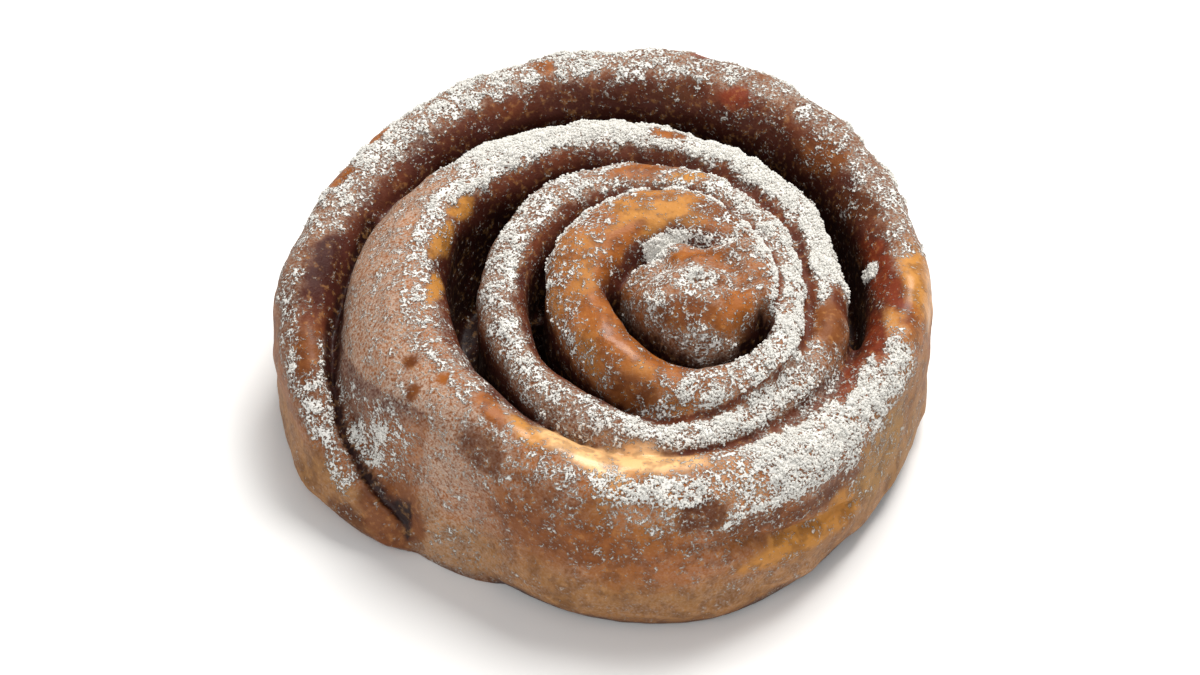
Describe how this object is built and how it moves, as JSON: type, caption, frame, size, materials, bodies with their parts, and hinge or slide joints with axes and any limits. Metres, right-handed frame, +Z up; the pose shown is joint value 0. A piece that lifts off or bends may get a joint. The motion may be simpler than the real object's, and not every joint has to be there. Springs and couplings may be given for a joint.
{
  "type": "cinnamon roll",
  "caption": "Baked cinnamon roll: a strip of dough wound into a rising spiral with open grooves, a folded eye and a loose tail, dusted with sugar.",
  "frame": {"origin": "middle of the roll's box in plan, on its flat base", "axes": "+Z up, out of the tray side through the eye; -Y towards the broad front wall; -X towards the loose tail"},
  "size_m": [0.1158, 0.114, 0.043],
  "materials": {
    "baked_dough": "golden to red-brown baked crust, satin where bare, dark and slightly glossy filling in the grooves",
    "icing_sugar": "matt, clumped powdered sugar"
  },
  "bodies": {
    "root": {"cinnamon_roll": "baked_dough"}
  },
  "joints": []
}
